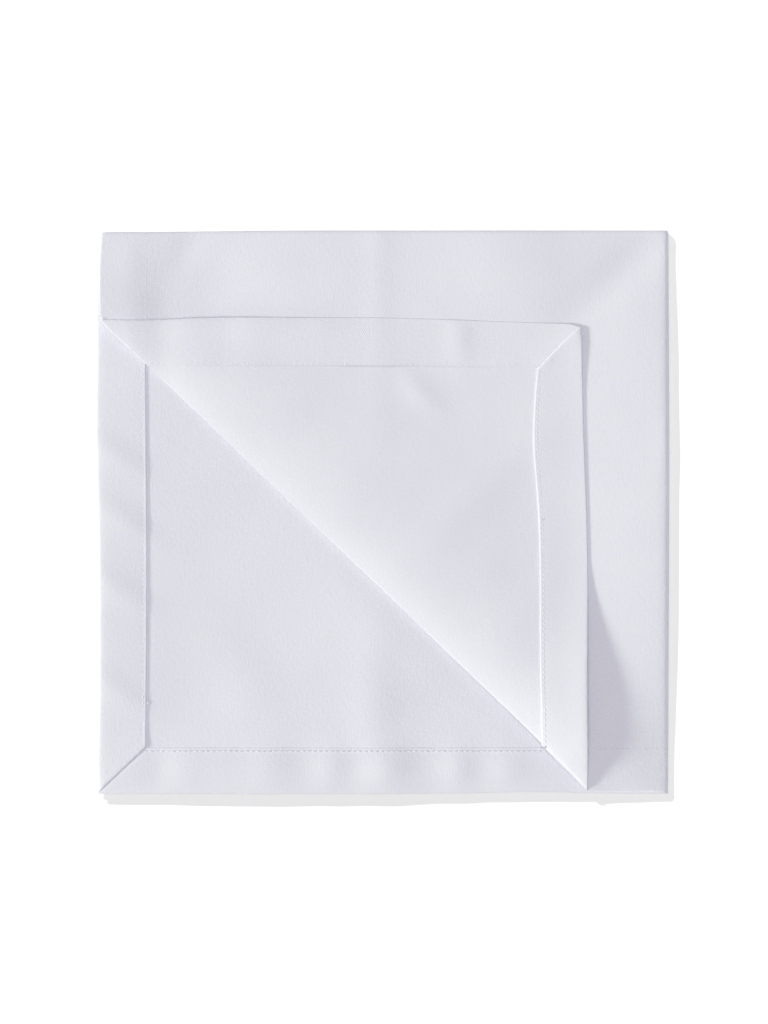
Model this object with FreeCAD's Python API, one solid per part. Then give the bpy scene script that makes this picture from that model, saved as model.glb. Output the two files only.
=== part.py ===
"""A hemmed square cloth napkin, folded in quarters, with the corner of its top leaf turned back.

Units are millimetres. X runs to the right, Y away from the viewer and Z up. The napkin lies flat,
and the origin is on the surface that it lies on, at the middle of its box.

The cloth is one piece, so it is one solid, and the model is made the way the napkin is:

1. hemmed_leaf() makes one quarter, with a doubled hem along its two free edges and a mitre
   where they meet;
2. folded() lays the other half of whatever it is given under it, round a bend. It is used
   twice: across the open napkin, and then across the strip that this leaves;
3. with_corner_turned_back() folds the free corner of the top leaf over the diagonal.

Every bend is the cloth's own cut face, with its hems, turned about the fold's axis. The first fold
keeps the wrong side inside, where the hems stand, so that the corner that is turned back shows
its hem, and bares the hem of the leaf below.
"""

import math
import os

import FreeCAD, Part  # noqa: E401  FreeCAD has to be loaded before Part

# the folded napkin
FOLDED_WIDTH = 251.0  # along X, over the second fold
FOLDED_DEPTH = 248.5  # along Y, over the first fold
TURNED_BACK = 211.5  # from the free corner to the diagonal fold, along either edge

# the cloth and its hem
PLY = 0.4  # thickness of the cloth
HEM_WIDTH = 20.0
HEM_AIR = 0.1  # between the cloth and the band turned back over it
MITRE_WIDTH = 1.2  # of the groove that the mitre's seam pulls in
MITRE_DEPTH = PLY

# how closely each fold is pressed: the air between the two faces that it lays together
HEM_CLEARANCE = 0.3  # between two hems that face each other
SECOND_FOLD_AIR = 0.5
DIAGONAL_FOLD_AIR = 1.2

# what follows from them
HEM_BAND = 2.0 * PLY  # the turned edge, with its raw edge doubled under
HEM_RISE = HEM_AIR + HEM_BAND  # how far a hem stands off the wrong side
HEM_STRIP = HEM_WIDTH + PLY  # a hem with the cloth that it lies on
EDGE_RADIUS = (PLY + HEM_RISE) / 2.0  # of the rounded outer edge of a hem
FIRST_FOLD_AIR = 2.0 * HEM_RISE + HEM_CLEARANCE
FIRST_BEND = FIRST_FOLD_AIR / 2.0 + PLY  # outer radius of the first fold
SECOND_BEND = SECOND_FOLD_AIR / 2.0 + PLY + FIRST_FOLD_AIR + PLY  # and of the second
LEAF_WIDTH = FOLDED_WIDTH - SECOND_BEND  # the flat run of each leaf, up to its bends
LEAF_DEPTH = FOLDED_DEPTH - FIRST_BEND
STACK_HEIGHT = 2.0 * SECOND_BEND  # of the four leaves

HALF_TURN = 180.0
IN_PLANE = 1e-6
NODE = "napkin"

vector = FreeCAD.Vector
ORIGIN = vector(0.0, 0.0, 0.0)
RIGHT = vector(1.0, 0.0, 0.0)
AWAY = vector(0.0, 1.0, 0.0)
UP = vector(0.0, 0.0, 1.0)


def prism(outline, low, high):
    """An upright prism from low to high over an outline of (x, y) points."""
    corners = [vector(x, y, low) for x, y in outline]
    return Part.Face(Part.makePolygon([*corners, corners[0]])).extrude(UP * (high - low))


def hem_section():
    """The section across a hem, in the XZ plane, with the hem's outer edge at X = 0.

    The cloth lies from Z = 0 to PLY. At the edge it turns under on a half round, comes back as
    the doubled band, and ends in the band's own fold, HEM_WIDTH in from the edge.
    """
    top, bottom, under_cloth = PLY, -HEM_RISE, -HEM_AIR
    fold_radius = HEM_BAND / 2.0
    fold_start = HEM_WIDTH - fold_radius

    def at(x, z):
        return vector(x, 0.0, z)

    def line(start, end):
        return Part.LineSegment(start, end).toShape()

    def arc(start, middle, end):
        return Part.Arc(start, middle, end).toShape()

    edge_top, edge_bottom = at(EDGE_RADIUS, top), at(EDGE_RADIUS, bottom)
    slit_top, slit_bottom = at(EDGE_RADIUS, 0.0), at(EDGE_RADIUS, under_cloth)
    fold_bottom, fold_top = at(fold_start, bottom), at(fold_start, under_cloth)
    edges = [
        line(at(HEM_STRIP, top), edge_top),
        arc(edge_top, at(0.0, top - EDGE_RADIUS), edge_bottom),
        line(edge_bottom, fold_bottom),
        arc(fold_bottom, at(HEM_WIDTH, bottom + fold_radius), fold_top),
        line(fold_top, slit_bottom),
        line(slit_bottom, slit_top),
        line(slit_top, at(HEM_STRIP, 0.0)),
        line(at(HEM_STRIP, 0.0), at(HEM_STRIP, top)),
    ]
    return Part.Face(Part.Wire(edges))


def mitred_hem(length):
    """A hem along the Y axis, cut off at 45 degrees where the next one meets it."""
    past_corner = 2.0 * HEM_STRIP
    next_hem = [(-HEM_STRIP, -HEM_STRIP), (past_corner, past_corner), (past_corner, -HEM_STRIP)]
    hem = hem_section().extrude(AWAY * length)
    return hem.cut(prism(next_hem, -2.0 * HEM_RISE, 2.0 * PLY))


def mitre_groove():
    """The shallow V along the mitre's seam, from the corner to the hems' inner edges."""
    half = MITRE_WIDTH / 2.0
    bottom = -HEM_RISE
    corners = [
        vector(0.0, 0.0, bottom + MITRE_DEPTH),
        vector(0.0, half, bottom),
        vector(0.0, -half, bottom),
    ]
    section = Part.Face(Part.makePolygon([*corners, corners[0]]))
    groove = section.extrude(RIGHT * (math.sqrt(2.0) * HEM_STRIP))
    groove.rotate(ORIGIN, UP, HALF_TURN / 4.0)
    return groove


def hemmed_leaf():
    """A quarter of the napkin, face up, with its free corner at the origin."""
    left = mitred_hem(LEAF_DEPTH)
    front = mitred_hem(LEAF_WIDTH).mirror(ORIGIN, RIGHT - AWAY)
    inner_corner = vector(HEM_STRIP, HEM_STRIP, 0.0)
    panel = Part.makeBox(LEAF_WIDTH - HEM_STRIP, LEAF_DEPTH - HEM_STRIP, PLY, inner_corner)
    return panel.fuse([left, front]).cut(mitre_groove()).removeSplitter()


def bends_of(sheet, point, direction):
    """The half turns of cloth that carry sheet on, past the upright plane where it ends.

    The plane holds the fold's axis, which runs through point along direction.
    """
    normal = direction.cross(UP)

    def ends_here(face):
        if not isinstance(face.Surface, Part.Plane):
            return False
        parallel = face.Surface.Axis.cross(normal).Length < IN_PLANE
        return parallel and abs((face.CenterOfMass - point).dot(normal)) < IN_PLANE

    return [face.revolve(point, direction, HALF_TURN) for face in sheet.Faces if ends_here(face)]


def folded(sheet, point, direction):
    """sheet with its other half, which is alike, folded under it about the axis through point."""
    other_half = sheet.mirror(point, UP)
    return sheet.fuse([*bends_of(sheet, point, direction), other_half]).removeSplitter()


def with_corner_turned_back(stack):
    """The stack with the free corner of its top leaf folded over the diagonal onto that leaf."""
    margin = 2.0 * EDGE_RADIUS
    past_fold = TURNED_BACK + margin
    below_leaf = -FIRST_FOLD_AIR / 2.0
    corner_region = prism(
        [(-margin, past_fold), (past_fold, -margin), (-margin, -margin)], below_leaf, STACK_HEIGHT
    )
    within_edges = prism(
        [(0.0, 0.0), (LEAF_WIDTH, 0.0), (LEAF_WIDTH, LEAF_DEPTH), (0.0, LEAF_DEPTH)],
        below_leaf,
        STACK_HEIGHT,
    )
    corner = stack.common(corner_region)
    point = vector(TURNED_BACK / 2.0, TURNED_BACK / 2.0, PLY + DIAGONAL_FOLD_AIR / 2.0)
    direction = (AWAY - RIGHT).normalize()
    bends = [bend.common(within_edges) for bend in bends_of(corner, point, direction)]
    corner.rotate(point, direction, HALF_TURN)
    return stack.cut(corner_region).fuse([*bends, corner]).removeSplitter()


def napkin():
    """The folded napkin, lying on Z = 0 about the middle of its outline."""
    first_axis = vector(0.0, LEAF_DEPTH, -FIRST_FOLD_AIR / 2.0)
    second_axis = vector(LEAF_WIDTH, 0.0, PLY - SECOND_BEND)
    half = folded(hemmed_leaf(), first_axis, RIGHT * -1.0)
    quarter = folded(half, second_axis, AWAY)
    whole = with_corner_turned_back(quarter)
    whole.translate(vector(-FOLDED_WIDTH / 2.0, -FOLDED_DEPTH / 2.0, STACK_HEIGHT - PLY))
    return whole


def report(shape):
    """Prints what the solid measures, and the size of the square that it was folded from."""
    box = shape.optimalBoundingBox()
    open_width = 2.0 * LEAF_WIDTH + math.pi * SECOND_BEND / 2.0  # the mean of both its bends
    open_depth = 2.0 * LEAF_DEPTH + math.pi * (FIRST_BEND - PLY / 2.0)
    print(f"{NODE}: valid {shape.isValid()}, solids {len(shape.Solids)}, faces {len(shape.Faces)}")
    print(f"box {box.XLength:.2f} x {box.YLength:.2f} x {box.ZLength:.2f} mm")
    print(f"volume {shape.Volume:.0f} mm3, open napkin {open_width:.1f} x {open_depth:.1f} mm")


def main():
    os.makedirs("parts", exist_ok=True)
    shape = napkin()
    report(shape)
    shape.Solids[0].exportStep(f"parts/{NODE}.step")


main()
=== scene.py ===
"""A hemmed square cloth napkin, folded in quarters, with the corner of its top leaf turned back.

The cloth is made the way the real one is. A square is cut flat, its edges are turned under twice
into mitred hems, and then the open napkin is folded over its first crease, over its second one,
and over the diagonal of its top leaf. The hems' stitches go through the same folds. The cloth's
and the thread's lengths are in millimetres until a finished mesh is written, in metres, in the
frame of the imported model. The studio's lengths are in metres.
"""

import logging
import math
from dataclasses import dataclass
from enum import Enum

import bmesh
import bpy
import numpy as np
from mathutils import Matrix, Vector


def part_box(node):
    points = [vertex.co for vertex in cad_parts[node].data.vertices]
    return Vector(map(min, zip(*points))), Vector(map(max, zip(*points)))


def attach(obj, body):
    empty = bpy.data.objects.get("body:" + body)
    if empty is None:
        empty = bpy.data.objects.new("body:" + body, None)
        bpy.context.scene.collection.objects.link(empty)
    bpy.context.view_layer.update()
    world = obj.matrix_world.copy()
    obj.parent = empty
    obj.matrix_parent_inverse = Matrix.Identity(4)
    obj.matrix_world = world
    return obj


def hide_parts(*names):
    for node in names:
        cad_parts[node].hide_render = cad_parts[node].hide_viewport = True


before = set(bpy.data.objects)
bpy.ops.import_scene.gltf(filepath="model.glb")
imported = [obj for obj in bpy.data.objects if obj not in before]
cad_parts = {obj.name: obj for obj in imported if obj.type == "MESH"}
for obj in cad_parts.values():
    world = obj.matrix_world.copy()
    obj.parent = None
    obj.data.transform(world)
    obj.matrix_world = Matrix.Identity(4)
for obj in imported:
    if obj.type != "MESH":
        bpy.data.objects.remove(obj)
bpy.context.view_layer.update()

MM = 0.001
BODY = "root"
NODE = "napkin"
TOP = 3  # the top leaf, counted from 0 for the lowest
OUTWARD = ((1, 0), (0, 1), (-1, 0), (0, -1))  # from the middle to each hem, the right one first
WHITE = (1.0, 1.0, 1.0)

LOG = logging.getLogger("napkin")

Array = np.ndarray
Places = tuple[Array, Array]
Points = tuple[Array, Array, Array]
Mesh = bmesh.types.BMesh
Faces = list[bmesh.types.BMFace]
Object = bpy.types.Object
Material = bpy.types.Material
Values = dict | None
Triple = tuple[float, float, float]
Color = Triple
PerLeaf = tuple[float, float, float, float]
Pair = tuple[float, float]


def smooth_step(start: float, end: float, value: Array) -> Array:
    """A smooth rise from 0 at start to 1 at end, read at each value."""
    t = np.clip((value - start) / (end - start), 0.0, 1.0)
    return t * t * (3.0 - 2.0 * t)


def quarter_ellipse(reach: Array, rise: Array) -> Array:
    """The length of a quarter of an ellipse, by Ramanujan's formula."""
    root = np.sqrt((3.0 * reach + rise) * (reach + 3.0 * rise))
    return math.pi / 4.0 * (3.0 * (reach + rise) - root)


def lines_between(start: float, end: float, step: float) -> list[float]:
    """Evenly spaced mesh lines after start, up to and with end, at most a step apart."""
    count = max(1, math.ceil((end - start) / step - 1e-6))
    return [start + (end - start) * i / count for i in range(1, count + 1)]


@dataclass(frozen=True)
class Hem:
    """A doubled hem, measured from the napkin's finished edge."""

    width: float = 20.0
    ply_rise: float = 0.60
    tuck_rise: float = 0.26
    tuck_short: float = 0.9
    tuck_reach: float = 0.55
    stitch_inset: float = 1.4
    stitch_pitch: float = 2.5
    stitch_sink: float = 0.05
    stitch_sink_width: float = 0.7
    pressed: float = 0.10
    pressed_width: float = 6.0
    mitre_sink: float = 0.75
    mitre_width: float = 0.40
    mitre_start: Pair = (0.2, 1.2)
    mitre_step: float = 0.55
    mitre_step_width: float = 4.0
    beside_edge: Triple = (0.5, 1.4, 3.0)
    beside_row: Pair = (0.5, 1.5)
    beside_thread: Pair = (0.4, 0.8)
    edge_spans: int = 6
    tuck_spans: int = 5
    tuck_step: float = 6.0

    @property
    def edge_radius(self) -> float:
        """The radius of the turned edge, at the middle of the cloth."""
        return self.ply_rise / 2.0

    @property
    def tuck_radius(self) -> float:
        """The radius of the fold that tucks the raw edge in, before it is pressed."""
        return (self.ply_rise - self.tuck_rise) / 2.0

    @property
    def stitches(self) -> float:
        """How far the stitches lie from the finished edge."""
        return self.width - self.stitch_inset

    def stitch_lines(self, half: float) -> Pair:
        """Where the needle goes through the cloth and the hem's upper ply, from the middle."""
        turned = half + self.edge_radius * (math.pi - 2.0)
        return half - self.stitches, turned + self.stitches

    def pitch(self, half: float) -> tuple[int, float]:
        """The number of stitches along a hem of twice this half length, and the length of one."""
        count = 2 * round((half - self.stitches) / self.stitch_pitch)
        return count, 2.0 * (half - self.stitches) / count

    @property
    def run(self) -> float:
        """The flat run of the upper ply, between its two folds."""
        return self.width - self.edge_radius - self.tuck_reach

    @property
    def tuck_run(self) -> float:
        """The flat run of the tucked ply."""
        return self.run - self.tuck_short

    @property
    def allowance(self) -> float:
        """The cloth cut beyond the finished edge's own turn."""
        folds = math.pi * (self.edge_radius + self.tuck_radius)
        return folds + self.run + self.tuck_run - self.edge_radius

    def fold(self, cut: Array, half: float) -> Places:
        """Turns a cut edge under, seen across it.

        Args:
            cut: How far each point lies from the middle of the cut cloth.
            half: How far the finished edge lies from the middle.

        Returns:
            Each point's distance from the middle once the hem is turned, and its height over the
            wrong side.
        """
        edge, tuck = self.edge_radius, self.tuck_radius
        start = half - edge
        past = cut - start
        turn = np.clip(past / edge, 0.0, math.pi)
        across = np.minimum(cut, start) + edge * np.sin(turn)
        height = edge * (1.0 - np.cos(turn))
        back = np.clip(past - math.pi * edge, 0.0, self.run)
        across = across - back
        turn = np.clip((past - math.pi * edge - self.run) / tuck, 0.0, math.pi)
        across = across - self.tuck_reach * np.sin(turn)
        height = height - tuck * (1.0 - np.cos(turn))
        forth = np.maximum(past - math.pi * (edge + tuck) - self.run, 0.0)
        return across + forth, height

    def lines(self, half: float, step: float, hem_step: float) -> list[float]:
        """Where the mesh has its lines, from the middle of the cut cloth to its raw edge.

        Args:
            half: How far the finished edge lies from the middle.
            step: The spacing over the open cloth.
            hem_step: The spacing over the hem.

        Returns:
            The lines, in order, from 0.
        """
        edge_turn, tuck_turn = math.pi * self.edge_radius, math.pi * self.tuck_radius
        start = half - self.edge_radius
        row, thread = half - self.width + self.stitch_inset, self.stitch_lines(half)[1]
        near_row, off_row = self.beside_row
        near_thread, off_thread = self.beside_thread
        near_edge, off_edge, far_edge = self.beside_edge
        lines = [0.0, *lines_between(0.0, row - off_row, step)]
        lines += [row - near_row, row, row + near_row, row + off_row]
        lines += lines_between(lines[-1], start - far_edge, step)
        lines += [start - off_edge, start - near_edge, start]
        lines += lines_between(start, start + edge_turn, edge_turn / self.edge_spans)
        back = lines[-1]
        lines += [back + near_edge, back + off_edge, back + far_edge]
        lines += lines_between(back + far_edge, thread - off_row, hem_step)
        lines += [thread - off_thread, thread - near_thread, thread]
        lines += [thread + near_thread, thread + off_thread, back + self.run]
        back += self.run
        lines += lines_between(back, back + tuck_turn, tuck_turn / self.tuck_spans)
        lines += lines_between(lines[-1], lines[-1] + self.tuck_run, self.tuck_step)
        return lines


@dataclass(frozen=True)
class Swell:
    """A soft rise or hollow in lying cloth, longer one way than the other."""

    x: float
    y: float
    height: float
    along: float
    across: float
    angle: float = 0.0

    def at(self, x: Array, y: Array) -> Array:
        """The height that the swell adds.

        Args:
            x: Where to read it, to the right.
            y: Where to read it, away.

        Returns:
            The height at each place.
        """
        turn = math.radians(self.angle)
        right, away = x - self.x, y - self.y
        along = (right * math.cos(turn) + away * math.sin(turn)) / self.along
        across = (away * math.cos(turn) - right * math.sin(turn)) / self.across
        return self.height * np.exp(-(along * along + across * across))


def swelling(swells: tuple[Swell, ...], x: Array, y: Array) -> Array:
    """What several swells add together at each place."""
    return sum((swell.at(x, y) for swell in swells), np.zeros_like(x))


@dataclass(frozen=True)
class Drift:
    """A soft sideways shift of lying cloth."""

    right: float
    away: float
    where: Swell

    def moved(self, x: Array, y: Array, share: Array | float = 1.0) -> Places:
        """Shifts points, each by its share."""
        weight = self.where.at(x, y) * share
        return x + self.right * weight, y + self.away * weight


@dataclass(frozen=True)
class Outline:
    """The folded napkin's outline on the surface that it lies on."""

    left: float
    right: float
    front: float
    back: float

    @classmethod
    def of_node(cls, node: str) -> "Outline":
        """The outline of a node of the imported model, in millimetres."""
        low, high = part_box(node)
        return cls(low.x / MM, high.x / MM, low.y / MM, high.y / MM)


@dataclass(frozen=True)
class Leaves:
    """How high each of the four leaves lies, counted from the lowest one."""

    outline: Outline
    middle: PerLeaf = (0.30, 1.50, 2.10, 3.30)
    over_hems: PerLeaf = (0.30, 2.20, 3.05, 5.45)
    edge_drop: PerLeaf = (0.0, 0.10, 0.30, 0.45)
    edge_drop_width: float = 2.4
    sag_start: PerLeaf = (19.0, 18.0, 16.0, 12.0)
    sag_end: PerLeaf = (40.0, 38.0, 54.0, 31.0)
    follow: PerLeaf = (0.0, 0.5, 1.0, 1.0)
    right_rise: float = 2.5
    right_rise_width: float = 48.0
    back_rise: float = 1.5
    back_rise_width: float = 42.0
    top_swells: tuple[Swell, ...] = ()
    second_swells: tuple[Swell, ...] = ()

    def height(self, leaf: int, x: Array, y: Array) -> Array:
        """The height of a leaf's middle ply.

        Args:
            leaf: The leaf, from 0 for the lowest to 3 for the top one.
            x: Where to read it, to the right.
            y: Where to read it, away.

        Returns:
            The height at each place.
        """
        from_left, from_front = x - self.outline.left, y - self.outline.front
        start, end = self.sag_start[leaf], self.sag_end[leaf]
        sag = smooth_step(start, end, from_left) * smooth_step(start, end, from_front)
        panel = self.middle[leaf]
        if leaf == TOP:
            to_right = smooth_step(0.0, 1.0, 1.0 - (self.outline.right - x) / self.right_rise_width)
            to_back = smooth_step(0.0, 1.0, 1.0 - (self.outline.back - y) / self.back_rise_width)
            panel = panel + self.right_rise * to_right + self.back_rise * to_back
        height = self.over_hems[leaf] + sag * (panel - self.over_hems[leaf])
        nearest = np.clip(np.minimum(from_left, from_front), 0.0, self.edge_drop_width)
        height -= self.edge_drop[leaf] * (1.0 - nearest / self.edge_drop_width) ** 2
        if leaf == TOP:
            height += swelling(self.top_swells, x, y)
        if self.follow[leaf]:
            height += self.follow[leaf] * swelling(self.second_swells, x, y)
        return height


@dataclass(frozen=True)
class QuarterFolds:
    """The first fold, along the back edge, and the second one, along the right edge."""

    outline: Outline
    leaves: Leaves
    first_reach: float = 2.2
    first_rise: float = 0.8
    second_reach: float = 4.2
    second_inner_reach: float = 3.4
    second_rise: float = 1.9
    second_inner_rise: float = 0.3
    second_inset: float = 1.0
    squareness: float = 2.0 / 3.0
    front_drawn_in: float = 1.3

    def half_width(self) -> float:
        """From the second crease to the open napkin's edge, so that the folded one fits.

        Returns:
            The length.
        """
        reach = self.second_inner_reach
        slack = quarter_ellipse(reach, self.second_inner_rise) - reach
        return float(self.outline.right - self.second_inset - self.outline.left + slack)

    def half_depth(self) -> float:
        """From the first crease to the open napkin's edge, so that the folded one fits."""
        slack = quarter_ellipse(self.first_reach, self.first_rise) - self.first_reach
        return float(self.outline.back - self.outline.front + slack)

    def bend(self, place: Array, reach: Array | float, rise: Array | float) -> Points:
        """Takes cloth round one fold.

        Args:
            place: Each point's place across the crease.
            reach: How far out the fold's curve comes.
            rise: How far it rises over its middle, and falls under it.

        Returns:
            Each point's share of the rise, its share of the reach, and how far it lies past the
            curve.
        """
        arc = quarter_ellipse(reach, rise)
        turn = math.pi / 2.0 * np.clip(np.abs(place) / arc, 0.0, 1.0)
        up = -np.sign(place) * np.sin(turn) ** self.squareness
        out = np.cos(turn).clip(0.0) ** self.squareness
        return up, out, np.maximum(np.abs(place) - arc, 0.0)

    def place(self, u: Array, v: Array, h: Array) -> Points:
        """Folds the open napkin in quarters.

        Args:
            u: Each point's place across the second crease, negative on the top leaf.
            v: Each point's place across the first crease, negative on the top leaf.
            h: Its height over the cloth's wrong side.

        Returns:
            The folded x, y and z of each point.
        """
        outer, out, flat = self.bend(v, self.first_reach, self.first_rise)
        y = self.outline.back - self.first_reach + (self.first_reach - h) * out - flat
        drawn_in = self.front_drawn_in * (-v / self.half_depth())
        y = y + np.where((v < 0.0) & (u < 0.0), drawn_in, 0.0)

        inner_share = (1.0 - outer) / 2.0
        reach = self.second_reach + inner_share * (self.second_inner_reach - self.second_reach)
        rise = self.second_rise + inner_share * (self.second_inner_rise - self.second_rise)
        upper, out, flat = self.bend(u, reach, rise)
        tip = self.outline.right - self.second_inset * inner_share
        x = tip - reach + (reach - h * outer) * out - flat

        lowest, low, high, highest = (self.leaves.height(leaf, x, y) for leaf in range(4))
        top = (highest + high) / 2.0 + outer * ((highest - high) / 2.0 - h)
        bottom = (low + lowest) / 2.0 - outer * ((low - lowest) / 2.0 - h)
        return x, y, (top + bottom) / 2.0 + upper * (top - bottom) / 2.0

    def point(self, u: float, v: float) -> Pair:
        """Where one point of the open napkin's wrong side comes to lie, in x and y."""
        x, y, _ = self.place(np.array([u]), np.array([v]), np.zeros(1))
        return float(x[0]), float(y[0])


@dataclass(frozen=True)
class Swelling:
    """How the turned corner stands up beside its fold, and comes down again further in."""

    height: float
    reach: float
    fall_start: float
    fall_end: float

    def at(self, run: Array) -> Array:
        """How high it stands at each distance from the fold."""
        up = 1.0 - np.exp(-run / self.reach)
        return self.height * up * (1.0 - smooth_step(self.fall_start, self.fall_end, run))


@dataclass(frozen=True)
class DiagonalFold:
    """The fold that turns the top leaf's corner back, from the left edge to the front edge.

    The cloth gives along its bias, so the corner that is turned back doesn't lie quite where a
    stiff sheet's would. It isn't pressed either, so it swells up beside the fold.
    """

    left_end: Pair = (-125.9, 85.9)
    front_end: Pair = (90.5, -123.8)
    corner: Pair = (87.2, 82.8)
    radius: float = 0.22
    rest_gap: float = 0.32
    settle: float = 15.0
    back_hem_share: float = 0.45
    right_hem_share: float = 0.9
    at_left: Swelling = Swelling(height=2.2, reach=6.0, fall_start=12.0, fall_end=80.0)
    in_middle: Swelling = Swelling(height=2.75, reach=9.5, fall_start=17.0, fall_end=95.0)
    left_share: Pair = (0.02, 0.30)
    tip_share: Pair = (0.62, 0.86)
    tip_height: float = 7.2
    tip_reach: float = 10.0
    tip_spread: float = 35.0
    tip_start: Pair = (0.0, 26.0)
    tip_low: float = 0.6
    tip_fall: Pair = (30.0, 106.0)
    top_edge: Pair = (-3.0, 26.0)
    right_edge: Pair = (-3.0, 42.0)
    hem_change: Pair = (-0.25, 0.25)
    hem_ease: Pair = (-6.0, 0.0)
    swells: tuple[Swell, ...] = ()
    drifts: tuple[Drift, ...] = ()
    fold_drifts: tuple[Drift, ...] = ()

    @property
    def start(self) -> Vector:
        """The fold's left end."""
        return Vector(self.left_end)

    @property
    def length(self) -> float:
        """The fold's length."""
        return (Vector(self.front_end) - self.start).length

    @property
    def direction(self) -> Vector:
        """The unit vector along the fold, to the right and towards the front."""
        return (Vector(self.front_end) - self.start).normalized()

    @property
    def inward(self) -> Vector:
        """The unit vector across the fold, towards the part of the leaf that stays."""
        return Vector((-self.direction.y, self.direction.x))

    @property
    def turn_length(self) -> float:
        """The cloth that goes round the fold."""
        return math.pi * self.radius

    def across(self, x: Array, y: Array) -> Places:
        """Where points lie along the fold, and how far past its crease.

        Args:
            x: The points' places to the right.
            y: The points' places away.

        Returns:
            The distance along the fold from its left end, and the distance past the crease
            towards the free corner.
        """
        right, away = x - self.start.x, y - self.start.y
        along = right * self.direction.x + away * self.direction.y
        past = -(right * self.inward.x + away * self.inward.y) + self.radius
        return along, past

    def swelling_at(self, share: Array, run: Array, x: Array, y: Array) -> Array:
        """How high the turned corner stands over its rest.

        Args:
            share: Where along the fold, from 0 to 1.
            run: How far from the fold.
            x: Where that is, to the right.
            y: Where that is, away.

        Returns:
            The height at each place.
        """
        to_middle = smooth_step(*self.left_share, share)
        to_tip = smooth_step(*self.tip_share, share)
        from_back, from_right = self.from_edges(x, y)
        held_by_right = smooth_step(*self.right_edge, from_right)
        held_by_back = smooth_step(*self.top_edge, from_back)
        behind = self.at_left.at(run) * (1.0 - to_middle) + self.in_middle.at(run) * to_middle
        behind = behind * held_by_right * (1.0 - to_tip)
        tip = self.tip_height * (1.0 - np.exp(-run / self.tip_reach))
        tip = tip * np.exp(-np.maximum(from_right, 0.0) / self.tip_spread)
        from_front = y - self.front_end[1]
        lifted = smooth_step(*self.tip_start, from_front)
        tip = tip * (self.tip_low + (1.0 - self.tip_low) * lifted)
        tip = tip * (1.0 - smooth_step(*self.tip_fall, from_front))
        return (behind + tip) * held_by_back

    def from_edges(self, x: Array, y: Array) -> Places:
        """How far places on the turned corner lie from its back and right edges."""
        share = (x - self.start.x) / (self.corner[0] - self.start.x)
        return self.start.y + share * (self.corner[1] - self.start.y) - y, self.corner[0] - x

    def laid(self, along: Array, off: Array) -> Places:
        """The x and y of places along the fold and off it, towards the part that stays."""
        start, direction, inward = self.start, self.direction, self.inward
        return tuple(start[i] + along * direction[i] + off * inward[i] for i in (0, 1))

    def turned(self, leaves: Leaves, points: Points, h: Array, free: Vector) -> Points:
        """Turns the free corner back.

        Args:
            leaves: The leaves that it comes to lie on.
            points: The x, y and z of the top leaf's points before the fold.
            h: Their height over the cloth's wrong side.
            free: Where the free corner lies before the fold.

        Returns:
            The x, y and z after the fold.
        """
        x, y, z = points
        along, past = self.across(x, y)
        corner_along, corner_past = (float(a) for a in self.across(free.x, free.y))
        wanted_along, wanted_past = (float(a) for a in self.across(*self.corner))
        corner_run = corner_past - self.turn_length
        pull = (wanted_along - corner_along) / corner_run
        scale = -wanted_past / corner_run

        angle = np.clip(past / self.radius, 0.0, math.pi)
        run = np.maximum(past - self.turn_length, 0.0)
        along = along + run * pull
        from_back, from_right = self.from_edges(*self.laid(along, run * scale))
        to_right_hem = smooth_step(*self.hem_change, from_back - from_right)
        kept = self.back_hem_share + (self.right_hem_share - self.back_hem_share) * to_right_hem
        h = h * (1.0 - (1.0 - kept) * smooth_step(*self.hem_ease, past))
        off = (self.radius + h) * np.sin(angle) - run * scale - self.radius
        new_x, new_y = self.laid(along, -off)
        settled = 1.0 - np.exp(-run / self.settle)
        rise = self.radius - (self.radius + h) * np.cos(angle)
        rise += (self.rest_gap - 2.0 * self.radius) * settled
        rise += self.swelling_at(along / self.length, run, new_x, new_y)
        rise += swelling(self.swells, new_x, new_y) * settled
        new_z = leaves.height(TOP, new_x, new_y) + rise
        for drift in self.drifts:
            new_x, new_y = drift.moved(new_x, new_y, settled)
        folds = past > 0.0
        x, y, z = (
            np.where(folds, new, old) for new, old in zip((new_x, new_y, new_z), (x, y, z))
        )
        for drift in self.fold_drifts:
            x, y = drift.moved(x, y)
        return x, y, z


@dataclass(frozen=True)
class Folding:
    """Everything that happens to the open napkin, in order."""

    quarters: QuarterFolds
    diagonal: DiagonalFold
    drifts: tuple[Drift, ...] = ()

    def place(self, u: Array, v: Array, h: Array) -> Array:
        """Where points of the open napkin come to lie.

        Args:
            u: Each point's place across the second crease.
            v: Each point's place across the first crease.
            h: Its height over the cloth's wrong side.

        Returns:
            A row of x, y and z for each point.
        """
        quarters = self.quarters
        x, y, z = quarters.place(u, v, h)
        free = Vector(quarters.point(-quarters.half_width(), -quarters.half_depth()))
        top_leaf = (u < 0.0) & (v < 0.0)
        turned = self.diagonal.turned(quarters.leaves, (x, y, z), h, free)
        x, y, z = (np.where(top_leaf, new, old) for new, old in zip(turned, (x, y, z)))
        for drift in self.drifts:
            x, y = drift.moved(x, y)
        return np.stack([x, y, z], axis=1)


def points_of(mesh: Mesh) -> Array:
    """The places of a mesh's vertices, with a row of x, y and z for each."""
    return np.array([vertex.co for vertex in mesh.verts], float)


def move_points(mesh: Mesh, places: Array) -> None:
    """Moves a mesh's vertices, with a row of x, y and z for each."""
    for vertex, place in zip(mesh.verts, places):
        vertex.co = place


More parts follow.
